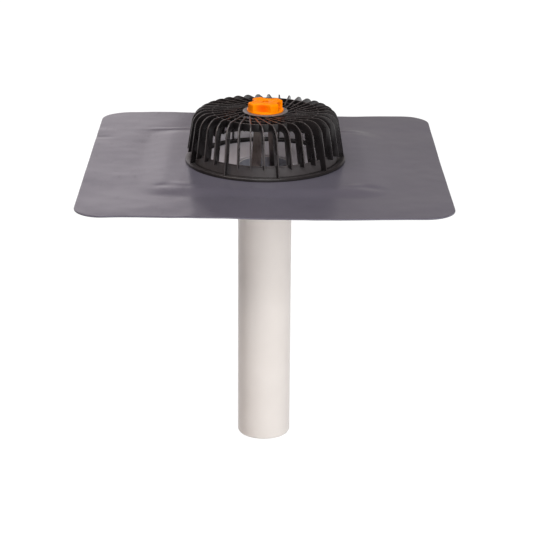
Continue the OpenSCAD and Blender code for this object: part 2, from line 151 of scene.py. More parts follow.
# Yoke, shoes, stud and nut.
YOKE_TURN = -115.4
YOKE_W = 14
YOKE_T = 1.5
CROWN_HALF = 20.4
CROWN_BEND_R = 4.5
LEG_BEND_R = 8
LEG_END_H = 16
SHOE_T = 1.3
SHOE_H = 14
SHOE_SOLE = 2
SHOE_TOE = 3.5
STUD_R = 4
STUD_HEAD_R = 9.5
STUD_HEAD_H = 4
SHANK_H = 8
THREAD_PITCH = 1.25
THREAD_DEPTH = 0.65
THREAD_STEPS = 32
THREAD_RUN_OUT = 12
NUT_ACROSS = 13
NUT_CHAMFER = 0.7

# Washer, knob and insert: the scallops are cut by circles round the knob, the first at SCALLOP_TURN.
WASHER_HOLE_R = 5.8
KNOB_ROUND = 240
KNOB_LEDGE_H = 2.2
KNOB_EDGE_R = 2.6
KNOB_INSET = 0.3
KNOB_HOLE_R = 4.6
SCALLOP_COUNT = 4
SCALLOP_TURN = -103
SCALLOP_R = 18.3
SCALLOP_DEPTH = 7.6
SCALLOP_IN_R = 17.5
LOBE_IN_R = 22.5
LOBE_ROUNDNESS = 0.8
INSERT_R = 6.4
INSERT_NECK_R = 5.4
INSERT_LIP_R = 7
INSERT_LIP_H = 1


# ---------------------------------------------------------------- finishes


class Wire:
    """A socket of a material, on which arithmetic adds Math nodes."""

    def __init__(self, finish, socket):
        self.finish = finish
        self.socket = socket

    def math(self, operation, *others, clamp=False):
        values = [self, *others]
        node = self.finish.tree.nodes.new("ShaderNodeMath")
        node.operation = operation
        node.use_clamp = clamp
        for slot, value in zip(node.inputs, values):
            self.finish.join(slot, value)
        return Wire(self.finish, node.outputs[0])

    def __add__(self, other):
        return self.math("ADD", other)

    def __mul__(self, other):
        return self.math("MULTIPLY", other)

    def __sub__(self, other):
        return self.math("SUBTRACT", other)

    def __rsub__(self, other):
        return (self * -1) + other

    def __pow__(self, other):
        return self.math("POWER", other)

    __radd__ = __add__

    def between(self, low, high):
        """0 below low, 1 above high and a straight line between them."""
        return (self - low).math("MULTIPLY", 1 / (high - low), clamp=True)


class Finish:
    """A material: one principled shader, and what varies over its surface.

    The colour and roughness given first are plain ones, for wherever the nodes that replace them aren't read.
    """

    def __init__(self, name, colour, roughness, metallic=0.0):
        self.material = bpy.data.materials.new(name)
        self.material.use_nodes = True
        self.tree = self.material.node_tree
        self.shader = self.tree.nodes["Principled BSDF"]
        self.set("Base Color", (*colour, 1))
        self.set("Roughness", roughness)
        self.set("Metallic", metallic)
        self.place = self.add("ShaderNodeTexCoord").outputs["Object"]

    def join(self, slot, value):
        if isinstance(value, Wire):
            value = value.socket
        if isinstance(value, bpy.types.NodeSocket):
            self.tree.links.new(value, slot)
        else:
            slot.default_value = value

    def add(self, kind, settings=None, **sockets):
        """A node of that kind, with its settings made first and then its sockets joined."""
        node = self.tree.nodes.new(kind)
        for name, value in (settings or {}).items():
            setattr(node, name, value)
        for name, value in sockets.items():
            self.join(node.inputs[name.replace("_", " ")], value)
        return node

    def set(self, socket, value):
        self.join(self.shader.inputs[socket], value)

    def axis(self, index):
        split = self.add("ShaderNodeSeparateXYZ", Vector=self.place)
        return Wire(self, split.outputs[index])

    def radius(self):
        """Distance from the drain's axis."""
        return (self.axis(0) ** 2 + self.axis(1) ** 2) ** 0.5

    def stretched(self, scale, turn=(0, 0, 0)):
        return self.add("ShaderNodeMapping", Vector=self.place, Scale=scale, Rotation=turn).outputs[0]

    def noise(self, per_metre, detail=2.0, rough=0.5, place=None):
        node = self.add("ShaderNodeTexNoise", Vector=place or self.place, Scale=per_metre, Detail=detail,
                        Roughness=rough)
        return Wire(self, node.outputs[0])

    def cells(self, per_metre):
        node = self.add("ShaderNodeTexVoronoi", Vector=self.place, Scale=per_metre)
        return Wire(self, node.outputs["Distance"])

    def mix(self, amount, low, high):
        """A colour from low to high as amount goes from 0 to 1."""
        node = self.add("ShaderNodeMix", {"data_type": "RGBA"})
        self.join(node.inputs["Factor"], amount)
        for slot, colour in ((node.inputs[6], low), (node.inputs[7], high)):
            self.join(slot, colour if isinstance(colour, Wire) else (*colour, 1))
        return Wire(self, node.outputs[2])

    def clouded(self, cloud, low, high):
        """A colour that drifts from low to high over the middle of a noise's range."""
        return self.mix(cloud.between(0.3, 0.7), low, high)

    def bump(self, height, depth, strength):
        """Fine relief, with its depth in metres."""
        node = self.add("ShaderNodeBump", Height=height, Distance=depth, Strength=strength)
        self.set("Normal", node.outputs[0])


def membrane_finish():
    """Satin roofing PVC: a fine leathery grain, faint cloudy colour and scuffs."""
    f = Finish("membrane_pvc", (0.105, 0.099, 0.124), 0.3)
    cloud = f.noise(9, 3)
    scuff = f.noise(160, 4, 0.7, f.stretched((1, 0.25, 1), (0, 0, 0.5))).between(0.6, 0.75)
    base = f.clouded(cloud, (0.092, 0.088, 0.114), (0.105, 0.1, 0.128))
    f.set("Base Color", f.mix(scuff * 0.12, base, (0.2, 0.19, 0.2)))
    f.set("Roughness", 0.25 + cloud * 0.08 + scuff * 0.1)
    f.bump(f.noise(900, 3, 0.6) + f.noise(120, 2) * 0.6, 0.00012, 0.6)
    return f.material


def moulded_black():
    """Deep black injection moulding of the guard, with painted highlights that make its narrow edges paler."""
    f = Finish("moulded_black", (0.012, 0.0105, 0.011), 0.26)
    cloud = f.noise(60, 3)
    face = f.mix(cloud.between(0.35, 0.7), (0.009, 0.0078, 0.0082), (0.014, 0.012, 0.0125))
    # Painted highlight: the narrow edges are coloured paler, for the light they catch.
    edge_highlight = f.clouded(cloud, (0.042, 0.0365, 0.0375), (0.06, 0.053, 0.054))
    edge = Wire(f, f.add("ShaderNodeAttribute", {"attribute_name": "edge"}).outputs["Fac"])
    f.set("Base Color", f.mix(edge, face, edge_highlight))
    f.set("Roughness", 0.22 + cloud * 0.12 + edge * 0.05)
    f.bump(f.noise(1400, 2, 0.6), 0.00006, 0.5)
    return f.material


def ring_black():
    """The ring's moulding: black on the flange, greyed and finely scratched on the upright wall."""
    f = Finish("ring_black", (0.03, 0.027, 0.028), 0.34)
    cloud = f.noise(60, 3)
    flange = f.mix(cloud.between(0.35, 0.7), (0.012, 0.0105, 0.011), (0.018, 0.016, 0.0165))
    wall = f.clouded(cloud, (0.04, 0.036, 0.0375), (0.052, 0.047, 0.049))
    upright = f.axis(2).between((FLANGE_H - 0.4) * MM, (FLANGE_H + 0.4) * MM)
    f.set("Base Color", f.mix(upright, flange, wall))
    f.set("Roughness", 0.26 + cloud * 0.12 + upright * 0.06)
    f.bump(f.noise(1400, 2, 0.6, f.stretched((1, 1, 0.4))), 0.00006, 0.5)
    return f.material


def body_grey():
    """Grey moulding of the drain body, slightly cloudy; its grey is partly painted light, made lighter than
    its own for the light in the dish.
    """
    f = Finish("moulded_grey", (0.465, 0.438, 0.473), 0.38)
    cloud = f.noise(30, 3)
    f.set("Base Color", f.clouded(cloud, (0.44, 0.415, 0.448), (0.49, 0.462, 0.498)))
    f.set("Roughness", 0.32 + cloud * 0.12)
    f.bump(f.noise(1100, 2), 0.00005, 0.5)
    return f.material


def grey_lining():
    """The pale, dull strip inside the ring: a real grey, lightened almost to white as painted light."""
    # Painted light: this grey is lightened almost to white, for the light that falls inside the ring.
    f = Finish("grey_lining", (0.83, 0.8, 0.84), 0.4)
    cloud = f.noise(40, 3)
    f.set("Base Color", f.clouded(cloud, (0.8, 0.77, 0.805), (0.87, 0.835, 0.875)))
    f.set("Roughness", 0.35 + cloud * 0.1)
    f.bump(f.noise(900, 2), 0.00005, 0.5)
    return f.material


def pipe_white():
    """Extruded pipe: fine lengthwise draw lines, a slight warmth, and a bore painted a darker blue-grey as
    painted shade.
    """
    f = Finish("pipe_white", (0.69, 0.655, 0.625), 0.32)
    drawn = f.noise(500, 2, 0.5, f.stretched((1, 1, 0.01)))
    cloud = f.noise(14, 3)
    outside = f.clouded(cloud, (0.67, 0.635, 0.605), (0.71, 0.675, 0.645))
    # Painted shade: the bore is coloured a darker blue-grey, for the shade inside the pipe.
    bore = f.radius().between((PIPE_BORE_R + 0.25) * MM, (PIPE_BORE_R + 0.05) * MM)
    inside = f.clouded(cloud, (0.3, 0.305, 0.36), (0.36, 0.365, 0.42))
    f.set("Base Color", f.mix(bore, outside, inside))
    f.set("Roughness", 0.26 + drawn * 0.12)
    f.bump(drawn, 0.00008, 0.4)
    return f.material


def knob_orange():
    """Dull orange moulding, with painted shade in its scallops: a deeper orange there, below the top edge."""
    f = Finish("knob_orange", (1.0, 0.24, 0.0), 0.45)
    f.set("Specular IOR Level", 0.1)
    cloud = f.noise(120, 3)
    side = f.axis(2).between(knob_high.z * MM, (knob_high.z - KNOB_EDGE_R) * MM)
    # Painted shade: the scallops are coloured a deeper orange, for the shade that falls in them.
    scallop_shade = f.radius().between(LOBE_IN_R * MM, SCALLOP_IN_R * MM) * side
    orange = f.clouded(cloud, (1.0, 0.235, 0.0), (1.0, 0.275, 0.0))
    f.set("Base Color", f.mix(scallop_shade, orange, (0.78, 0.118, 0.0)))
    f.set("Roughness", 0.4 + cloud * 0.1)
    f.bump(f.noise(1500, 2), 0.00005, 0.4)
    return f.material


def washer_grey():
    """Semi-gloss grey of the washer."""
    f = Finish("washer_grey", (0.145, 0.134, 0.136), 0.28)
    cloud = f.noise(80, 3)
    f.set("Base Color", f.clouded(cloud, (0.13, 0.12, 0.122), (0.16, 0.148, 0.15)))
    f.set("Roughness", 0.23 + cloud * 0.1)
    return f.material


def stainless():
    """Pickled stainless strip: dark, dull and mottled, with fine lines along it."""
    f = Finish("stainless", (0.2, 0.175, 0.17), 0.42, metallic=1.0)
    drawn = f.noise(900, 2, 0.5, f.stretched((1, 1, 0.02)))
    cloud = f.noise(45, 4, 0.6)
    f.set("Base Color", f.clouded(cloud, (0.13, 0.11, 0.112), (0.34, 0.3, 0.28)))
    f.set("Roughness", 0.32 + cloud * 0.2 + drawn * 0.08)
    f.bump(drawn + cloud * 2, 0.00008, 0.5)
    return f.material


def zinc_steel():
    """Zinc-plated steel of the stud and the nut."""
    f = Finish("zinc_steel", (0.6, 0.6, 0.62), 0.3, metallic=1.0)
    cloud = f.cells(350)
    f.set("Base Color", f.mix(cloud.between(0.1, 0.8), (0.52, 0.53, 0.56), (0.68, 0.68, 0.68)))
    f.set("Roughness", 0.24 + cloud * 0.14)
    return f.material


def turned_brass():
    """Brass with the fine rings that turning leaves."""
    f = Finish("turned_brass", (0.78, 0.56, 0.25), 0.25, metallic=1.0)
    lines = f.noise(1500, 1, 0.5, f.stretched((0.02, 0.02, 1)))
    f.set("Base Color", f.mix(f.noise(90, 3), (0.66, 0.45, 0.18), (0.82, 0.62, 0.3)))
    f.set("Roughness", 0.2 + lines * 0.15)
    f.bump(lines, 0.00004, 0.5)
    return f.material


def black_rubber():
    """Dull black rubber with a little dust."""
    f = Finish("black_rubber", (0.02, 0.02, 0.02), 0.65)
    dust = f.noise(200, 4, 0.7)
    f.set("Base Color", f.mix(dust.between(0.45, 0.75), (0.016, 0.016, 0.016), (0.035, 0.034, 0.033)))
    f.set("Roughness", 0.58 + dust * 0.2)
    f.bump(f.noise(1200, 3), 0.0001, 0.5)
    return f.material


# ---------------------------------------------------------------- camera, lights and floor

# The camera: distances in metres, the lens and the sensor in millimetres.
CAMERA_DISTANCE = 2.62817
CAMERA_ELEVATION = math.radians(16.2616)
CAMERA_AZIMUTH = math.radians(0.0747)
CAMERA_PITCH = math.radians(19.4666)
CAMERA_YAW = math.radians(0.0096)
CAMERA_ROLL = math.radians(0.3343)
CAMERA_DROP = 0.0025
CAMERA_LENS = 127.25
CAMERA_SENSOR = 36

# Strengths: what is seen as white, the soft light all round, and how much of the floor's shading shows.
WHITE = 1.1
SOFT_COLOUR = (1, 0.55, 0.4)
SOFT_LEVEL = 0.06
FLOOR_SHARE = 0.07


def add_camera():
    """The camera, on a sphere round a point CAMERA_DROP below the origin."""
    level = CAMERA_DISTANCE * math.cos(CAMERA_ELEVATION)
    place = Vector((level * math.sin(CAMERA_AZIMUTH), -level * math.cos(CAMERA_AZIMUTH),
                    CAMERA_DISTANCE * math.sin(CAMERA_ELEVATION) - CAMERA_DROP))
    turn = (Matrix.Rotation(CAMERA_YAW, 4, "Z") @ Matrix.Rotation(math.pi / 2 - CAMERA_PITCH, 4, "X")
            @ Matrix.Rotation(CAMERA_ROLL, 4, "Z"))
    bpy.ops.object.camera_add(location=place, rotation=turn.to_euler())
    camera = bpy.context.object
    camera.data.sensor_width = CAMERA_SENSOR
    camera.data.lens = CAMERA_LENS
    camera.data.clip_end = 50
    bpy.context.scene.camera = camera


def add_softbox(name, place, target, width, height, power, colour=(1, 1, 1), mirrored=True):
    """A soft rectangular lamp turned towards target; one that isn't mirrored leaves no bright gloss."""
    aim = (Vector(target) - Vector(place)).to_track_quat("-Z", "Y")
    bpy.ops.object.light_add(type="AREA", location=place, rotation=aim.to_euler())
    lamp = bpy.context.object
    lamp.name = name
    lamp.data.shape = "RECTANGLE"
    lamp.data.size = width
    lamp.data.size_y = height
    lamp.data.energy = power
    lamp.data.color = colour
    lamp.visible_camera = False
    lamp.visible_glossy = mirrored


def add_lights():
    """Places in metres, powers in watts."""
    add_softbox("key_right", (1.3, -1.75, 0.15), (0, 0, -0.12), 0.9, 2.2, 44, mirrored=False)
    add_softbox("front_top", (0.1, -1.7, 1.6), (0, 0, 0), 1.4, 0.9, 25)
    add_softbox("front_low", (0.25, -2.6, 0.42), (0, 0, 0.02), 2.0, 0.8, 6)
    add_softbox("high_left", (-1.3, -0.7, 1.6), (0, 0, 0), 1.0, 1.0, 13, (1, 0.84, 0.74))
    add_softbox("overhead", (-0.3, 0, 1.9), (0, 0, 0), 1.2, 1.2, 18)
    add_softbox("back_left", (-1.1, 2.2, 0.5), (0, 0, 0), 2.0, 1.2, 8.8, (1, 0.95, 0.99))
    add_softbox("back_right", (0.9, 2.2, 0.5), (0, 0, 0), 1.6, 1.2, 2.3)


def add_world():
    """White where it is seen, and a plain level of soft light everywhere else."""
    world = bpy.data.worlds.new("studio")
    bpy.context.scene.world = world
    world.use_nodes = True
    nodes, links = world.node_tree.nodes, world.node_tree.links
    nodes.clear()
    path = nodes.new("ShaderNodeLightPath")
    mix = nodes.new("ShaderNodeMixShader")
    out = nodes.new("ShaderNodeOutputWorld")
    links.new(path.outputs["Is Camera Ray"], mix.inputs["Fac"])
    for slot, (colour, level) in enumerate(((SOFT_COLOUR, SOFT_LEVEL), ((1, 1, 1), WHITE)), 1):
        light = nodes.new("ShaderNodeBackground")
        light.inputs["Color"].default_value = (*colour, 1)
        light.inputs["Strength"].default_value = level
        links.new(light.outputs[0], mix.inputs[slot])
    links.new(mix.outputs[0], out.inputs["Surface"])



def add_floor():
    """A wide pale floor under the pipe's end, white where it is seen, which keeps a faint shadow."""
    bpy.ops.mesh.primitive_plane_add(size=40, location=(0, 0, pipe_low.z * MM - 0.0005))
    floor = bpy.context.object
    floor.name = "floor"
    lay_flat(floor)
    f = Finish("pale_floor", (0.85, 0.85, 0.85), 0.9)
    glow = f.add("ShaderNodeEmission", Strength=WHITE)
    path = f.add("ShaderNodeLightPath")
    seen = Wire(f, path.outputs["Is Camera Ray"]).math("MAXIMUM", path.outputs["Is Glossy Ray"])
    blend = f.add("ShaderNodeMixShader", Fac=1 - seen * (1 - FLOOR_SHARE))
    f.join(blend.inputs[1], glow.outputs[0])
    f.join(blend.inputs[2], f.shader.outputs[0])
    f.join(f.tree.nodes["Material Output"].inputs["Surface"], blend.outputs[0])
    floor.data.materials.append(f.material)


# ---------------------------------------------------------------- modelling by hand


def deselect():
    """Leaves edit mode, if it is on, and selects nothing."""
    if bpy.context.object and bpy.context.object.mode != "OBJECT":
        bpy.ops.object.mode_set(mode="OBJECT")
    bpy.ops.object.select_all(action="DESELECT")


def pick(piece):
    """Makes the piece the only one that operators act on."""
    deselect()
    piece.select_set(True)
    bpy.context.view_layer.objects.active = piece


def outline(name, points, filled=False):
    """A closed outline through points in millimetres, as a new piece."""
    deselect()
    bpy.ops.mesh.primitive_circle_add(vertices=len(points), fill_type="NGON" if filled else "NOTHING")
    piece = bpy.context.object
    piece.name = name
    for vertex, point in zip(piece.data.vertices, points):
        vertex.co = Vector(point) * MM
    return piece


def smooth(piece, angle=30):
    """Shades the piece smooth, except over edges sharper than an angle."""
    pick(piece)
    bpy.ops.object.shade_smooth_by_angle(angle=math.radians(angle))


def lay_flat(piece):
    """Puts the piece's place and turn into its mesh."""
    pick(piece)
    bpy.ops.object.transform_apply(location=True, rotation=True, scale=True)


def turned(name, section, steps=144):
    """A closed section of (radius, height) points, spun once round the axis."""
    piece = outline(name, [(r, 0, z) for r, z in section])
    pick(piece)
    bpy.ops.object.mode_set(mode="EDIT")
    bpy.ops.mesh.select_all(action="SELECT")
    bpy.ops.mesh.spin(steps=steps, angle=2 * math.pi, center=(0, 0, 0), axis=(0, 0, 1))
    bpy.ops.mesh.select_all(action="SELECT")
    bpy.ops.mesh.remove_doubles(threshold=1e-6)
    bpy.ops.mesh.normals_make_consistent(inside=False)
    bpy.ops.object.mode_set(mode="OBJECT")
    smooth(piece)
    return piece


def eased(corners, steps=3):
    """A closed outline of (x, y, radius) corners, each rounded to its own radius."""
    points = []
    for i, (x, y, radius) in enumerate(corners):
        corner = Vector((x, y))
        back = Vector(corners[i - 1][:2]) - corner
        on = Vector(corners[(i + 1) % len(corners)][:2]) - corner
        reach = 0
        if radius > 0:
            reach = min(radius / math.tan(back.angle(on) / 2), 0.49 * back.length, 0.49 * on.length)
        if reach < 0.01:
            points.append(tuple(corner))
            continue
        a = corner + back.normalized() * reach
        b = corner + on.normalized() * reach
        for k in range(steps + 1):
            t = k / steps
            points.append(tuple(a * (1 - t) ** 2 + corner * 2 * t * (1 - t) + b * t ** 2))
    return points


def arc(centre, radius, start, end, steps):
    """Points on an arc, with its angles in degrees."""
    angles = [math.radians(start + (end - start) * i / steps) for i in range(steps + 1)]
    return [(centre[0] + radius * math.cos(a), centre[1] + radius * math.sin(a)) for a in angles]


def skinned(name, rings, wrapped=False, capped=False):
    """A skin over closed rings of points in millimetres: open, wrapped round to the first ring, or capped."""
    mesh = bmesh.new()
    rows = [[mesh.verts.new(Vector(point) * MM) for point in ring] for ring in rings]
    for a, b in zip(rows, rows[1:] + rows[:1] if wrapped else rows[1:]):
        for i in range(len(a)):
            k = (i + 1) % len(a)
            mesh.faces.new((a[i], b[i], b[k], a[k]))
    if capped:
        mesh.faces.new(rows[0])
        mesh.faces.new(rows[-1][::-1])
    if wrapped or capped:
        bmesh.ops.recalc_face_normals(mesh, faces=mesh.faces)
    data = bpy.data.meshes.new(name)
    mesh.to_mesh(data)
    mesh.free()
    piece = bpy.data.objects.new(name, data)
    bpy.context.collection.objects.link(piece)
    return piece


def rod(radius, height, middle=0, sides=144, turn=0):
    """An upright cylinder or prism on the axis, with its middle at a height."""
    deselect()
    bpy.ops.mesh.primitive_cylinder_add(vertices=sides, radius=radius * MM, depth=height * MM,
                                        location=(0, 0, middle * MM), rotation=(0, 0, math.radians(turn)))
    return bpy.context.object


def apply_modifier(piece, kind, **settings):
    pick(piece)
    modifier = piece.modifiers.new(kind.lower(), kind)
    for name, value in settings.items():
        setattr(modifier, name, value)
    bpy.ops.object.modifier_apply(modifier=modifier.name)


def bevel(piece, width, segments=2, angle=30):
    """Rounds the edges that are sharper than an angle."""
    apply_modifier(piece, "BEVEL", width=width * MM, segments=segments, limit_method="ANGLE",
                   angle_limit=math.radians(angle))


def cut(piece, tool, operation="DIFFERENCE"):
    """Cuts the piece with a tool, and throws the tool away."""
    apply_modifier(piece, "BOOLEAN", operation=operation, object=tool, solver="EXACT")
    bpy.data.objects.remove(tool)


def thicken(piece, offset):
    """Pulls a flat filled outline out by an offset in millimetres."""
    pick(piece)
    bpy.ops.object.mode_set(mode="EDIT")
    bpy.ops.mesh.select_all(action="SELECT")
    bpy.ops.mesh.extrude_region_move(TRANSFORM_OT_translate={"value": Vector(offset) * MM})
    bpy.ops.mesh.select_all(action="SELECT")
    bpy.ops.mesh.normals_make_consistent(inside=False)
    bpy.ops.object.mode_set(mode="OBJECT")


def copies_round(piece, count, first=0.0):
    """Copies of a piece turned evenly round the axis, each with its own mesh."""
    row = [piece]
    for k in range(1, count):
        other = piece.copy()
        other.data = piece.data.copy()
        bpy.context.collection.objects.link(other)
        row.append(other)
    for k, other in enumerate(row):
        other.rotation_euler.z = math.radians(first + k * 360 / count)
    for other in row:
        lay_flat(other)
    return row


def joined(name, pieces):
    """One piece made of several."""
    deselect()
    for piece in pieces:
        piece.select_set(True)
    bpy.context.view_layer.objects.active = pieces[0]
    bpy.ops.object.join()
    piece = bpy.context.object
    piece.name = name
    return piece


def finished(piece, node, body, material):
    """The piece rides on its body, takes its finish and, where there is one, stands for its node."""
    piece.data.materials.append(material)
    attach(piece, body)
    if node:
        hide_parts(node)
    return piece


# ---------------------------------------------------------------- membrane


def ease(t):
    """Goes softly from 0 to 1 as t does."""
    t = min(max(t, 0), 1)
    return t * t * (3 - 2 * t)


def beyond(x, y, half, corner):
    """Distance outside a rounded square; negative inside it."""
    dx, dy = abs(x) - (half - corner), abs(y) - (half - corner)
    return math.hypot(max(dx, 0), max(dy, 0)) + min(max(dx, dy), 0) - corner


def fold(x, y, place, length, width, height, turn=0):
    """A soft ridge, or a dimple where height is negative, with its long way turned by an angle in degrees."""
    c, s = math.cos(math.radians(turn)), math.sin(math.radians(turn))
    dx, dy = x - place[0], y - place[1]
    along_it, across = (dx * c + dy * s) / length, (dy * c - dx * s) / width
    return height * math.exp(-along_it ** 2 - across ** 2)


# Place, length, width, height and turn of each fold.
FOLDS = (((-PLATE_HALF - 4, -PLATE_HALF + 9), 13, 9, -1.0, 10),
         ((-PLATE_HALF + 27, -PLATE_HALF + 14), 20, 8, 0.8, -8),
         ((PLATE_HALF + 8, -PLATE_HALF + 4), 16, 10, -1.3, -8),
         ((PLATE_HALF - 12, -PLATE_HALF + 10), 14, 7, 0.9, 10),
         ((-PLATE_HALF, PLATE_HALF + 31), 34, 6, 1.5, 5),
         ((PLATE_HALF - 12, PLATE_HALF + 21), 18, 7, 1.6, -10),
         ((-membrane_high.x, 150), 24, 14, 0.7, 0),
         ((-membrane_high.x + 4, 116), 20, 6, -0.8, 4))


def puckers(x, y):
    """The small folds that the sheet throws round the plate's corners, and those at its left edge."""
    return sum(fold(x, y, *shape) for shape in FOLDS)


def sheet_height(x, y):
    """Height of the sheet's top: level on the plate, lower, a little aslant and softly wavy outside it."""
    out = beyond(x, y, PLATE_HALF, PLATE_CORNER_R)
    drop = -PLATE_T * ease((out - 1) / MEMBRANE_SLOPE_W)
    free = ease(out / FREE_W)
    wave = 1.2 * math.sin(x / 62 + 0.6) * math.cos(y / 85)
    wave += 0.9 * noise.noise(Vector((x, y, 0)) / 90)
    across, along = x / membrane_high.x, y / membrane_high.y
    lie = -0.2 - 1.7 * across - 0.8 * along - 1.3 * across * along
    fine = 0.3 * noise.noise(Vector((x, y, 40)) / 28)
    pad = 0.12 * noise.noise(Vector((x, y, 90)) / 18) * ease((beyond(x, y, 100, 40) + 10) / 30)
    return drop + free * (wave + lie + fine) + pad + puckers(x, y)


def sheet_edge(angle):
    """Where a ray at that angle leaves the rounded rectangle of the sheet."""
    half_w, half_d = membrane_high.x, membrane_high.y
    c, s = math.cos(angle), math.sin(angle)
    reach = min(half_w / max(abs(c), 1e-9), half_d / max(abs(s), 1e-9))
    x, y = reach * c, reach * s
    core_w, core_d = half_w - MEMBRANE_CORNER_R, half_d - MEMBRANE_CORNER_R
    if abs(x) > core_w and abs(y) > core_d:
        cx, cy = math.copysign(core_w, x), math.copysign(core_d, y)
        along = c * cx + s * cy
        reach = along + math.sqrt(along ** 2 - cx ** 2 - cy ** 2 + MEMBRANE_CORNER_R ** 2)
        x, y = reach * c, reach * s
    return x, y


def membrane():
    """Rings of points from the hole out to the rounded edge, thickened downwards."""
    angles = [2 * math.pi * i / SHEET_ROUND for i in range(SHEET_ROUND)]
    hole = [(MEMBRANE_HOLE_R * math.cos(a), MEMBRANE_HOLE_R * math.sin(a)) for a in angles]
    edge = [sheet_edge(a) for a in angles]
    rings = []
    for j in range(SHEET_OUT + 1):
        share = j / SHEET_OUT
        places = [(hx + (ex - hx) * share, hy + (ey - hy) * share) for (hx, hy), (ex, ey) in zip(hole, edge)]
        rings.append([(x, y, sheet_height(x, y)) for x, y in places])
    piece = skinned("membrane_sheet", rings)
    apply_modifier(piece, "SOLIDIFY", thickness=MEMBRANE_T * MM, offset=-1)
    bevel(piece, 0.35, 2, 50)
    smooth(piece, 40)
    return piece


# ---------------------------------------------------------------- drain body, pipe and seal


def drain_body():
    """The bowl with its throat and socket, the square plate round it and the ribs under it."""
    under = plate_high.z - MEMBRANE_T - PLATE_T
    lip_in, throat_edge = DISH_R - DISH_LIP, THROAT_R + THROAT_EASE
    mouth, outer = plate_low.z, SOCKET_R + BODY_WALL
    groove = seal_high.x + 0.1
    sleeve = groove + BODY_WALL
    seal_bottom, seal_top = seal_low.z - SEAL_GAP, seal_high.z + SEAL_GAP
    shares = [i / DISH_STEPS for i in range(DISH_STEPS, -1, -1)]
    dish = [(throat_edge + (lip_in - throat_edge) * t, -DISH_FALL * (1 - t ** 2)) for t in shares]
    section = ([(DISH_R, under), (DISH_R, -0.5), (DISH_R - 0.5, 0)] + dish
               + arc((throat_edge, -DISH_FALL - THROAT_EASE), THROAT_EASE, 110, 180, 5)
               + eased([(THROAT_R, pipe_high.z, 0), (SOCKET_R, pipe_high.z, 0), (SOCKET_R, seal_top, 0),
                        (groove, seal_top, 0), (groove, seal_bottom, 0), (SOCKET_R, seal_bottom, 0),
                        (SOCKET_R, mouth + 0.4, 0), (SOCKET_R + 0.4, mouth, 0), (outer, mouth, 0.8),
                        (sleeve, seal_bottom - 1.5, 1.5), (sleeve, seal_top + 1.5, 2),
                        (outer, seal_top + 7.5, 3), (outer, -14, 5), (outer + 6, DISH_UNDER, 4),
                        (lip_in - BODY_WALL, DISH_UNDER, 0)]))
    bowl = turned("bowl", section)
    plate = outline("plate", [(x, y, under) for x, y in rounded_square(PLATE_HALF, PLATE_CORNER_R)], True)
    thicken(plate, (0, 0, PLATE_T))
    bevel(plate, 0.5)
    cut(plate, rod(DISH_R - 1, 20))
    smooth(plate)
    return joined("drain_body_moulding", [bowl, plate, *copies_round(body_rib(outer), RIB_COUNT)])


def rounded_square(half, corner, steps=6):
    """Points round a square with rounded corners."""
    core = half - corner
    points = []
    for k, (sx, sy) in enumerate(((1, 1), (-1, 1), (-1, -1), (1, -1))):
        points += arc((sx * core, sy * core), corner, 90 * k, 90 * k + 90, steps)
    return points


def body_rib(outer):
    """One web under the plate, from the socket's wall out to RIB_REACH."""
    root, top = outer - RIB_ROOT, DISH_UNDER + RIB_ROOT
    shape = [(root, DISH_UNDER - RIB_H), (outer + 3, DISH_UNDER - RIB_H), (RIB_REACH, DISH_UNDER - 3),
             (RIB_REACH, top), (root, top)]
    rib = outline("rib", [(r, -RIB_T / 2, z) for r, z in shape], True)
    thicken(rib, (0, RIB_T, 0))
    bevel(rib, 0.4)
    smooth(rib)
    return rib


def outlet_pipe():
    """The plain tube, slimmer above the step where it enters the socket and chamfered at its lower end."""
    low, high = pipe_low.z, pipe_high.z
    section = eased([(PIPE_BORE_R, high, 0.4), (PIPE_END_R, high, 0.4), (PIPE_END_R, PIPE_STEP_Z, 0),
                     (PIPE_R, PIPE_STEP_Z, 0.2), (PIPE_R, low + 2.4, 0.6), (PIPE_R - 1.2, low, 0.3),
                     (PIPE_BORE_R, low, 0.3)])
    return turned("outlet_tube", section, 128)


def pipe_seal():
    """A rubber ring in the socket's groove, with two lips that bear on the pipe."""
    back, low, high = seal_high.x, seal_low.z, seal_high.z
    neck = (PIPE_END_R + back) / 2
    middle, quarter = (low + high) / 2, (high - low) / 4
    upper, lower = ([(PIPE_END_R, lip + 0.5, 0.2), (PIPE_END_R, lip - 0.5, 0.2)]
                    for lip in (middle + quarter, middle - quarter))
    section = [(back, low, 0.4), (back, high, 0.4), (neck, high, 0.5), *upper, (neck, middle, 0.6), *lower,
               (neck, low, 0.5)]
    return turned("lip_seal", eased(section), 96)


# ---------------------------------------------------------------- base ring and leaf guard


def base_ring():
    """The flange with its groove, and the wall that leans in above it."""
    groove_out, groove_low = WALL_FOOT_R + GROOVE_W, FLANGE_H - GROOVE_D
    rim_in, top = RIM_R - WALL_T, ring_high.z
    section = eased([(RING_FOOT_R, 0, 0.4), (RING_R, 0, 0.6), (RING_R, FLANGE_H, 1.7),
                     (groove_out, FLANGE_H, 0.5), (groove_out - 0.3, groove_low, 0.3),
                     (WALL_FOOT_R, groove_low, 0.3), (RIM_R, top, 0.6), (rim_in, top, 0.6),
                     (rim_in + 1, FLANGE_H, 0.8), (RING_FOOT_R + 0.6, FLANGE_H - 0.8, 0.6),
                     (RING_FOOT_R, FLANGE_H - 1.4, 0.3)], 4)
    return turned("ring_moulding", section, 192)


def ring_lining():
    """The pale strip that lines the inside of the ring's wall, behind the fins' prongs."""
    high, low = ring_high.z - 0.5, FLANGE_H + 0.6
    lean, rim_in = 1 / (ring_high.z - FLANGE_H), RIM_R - WALL_T
    top_r, low_r = rim_in + 0.5 * lean, rim_in + 1 - 0.6 * lean
    section = eased([(top_r, high, 0), (low_r, low, 0), (low_r - LINING_T, low, 0.1),
                     (top_r - LINING_T, high, 0.1)])
    return turned("ring_lining", section, 192)


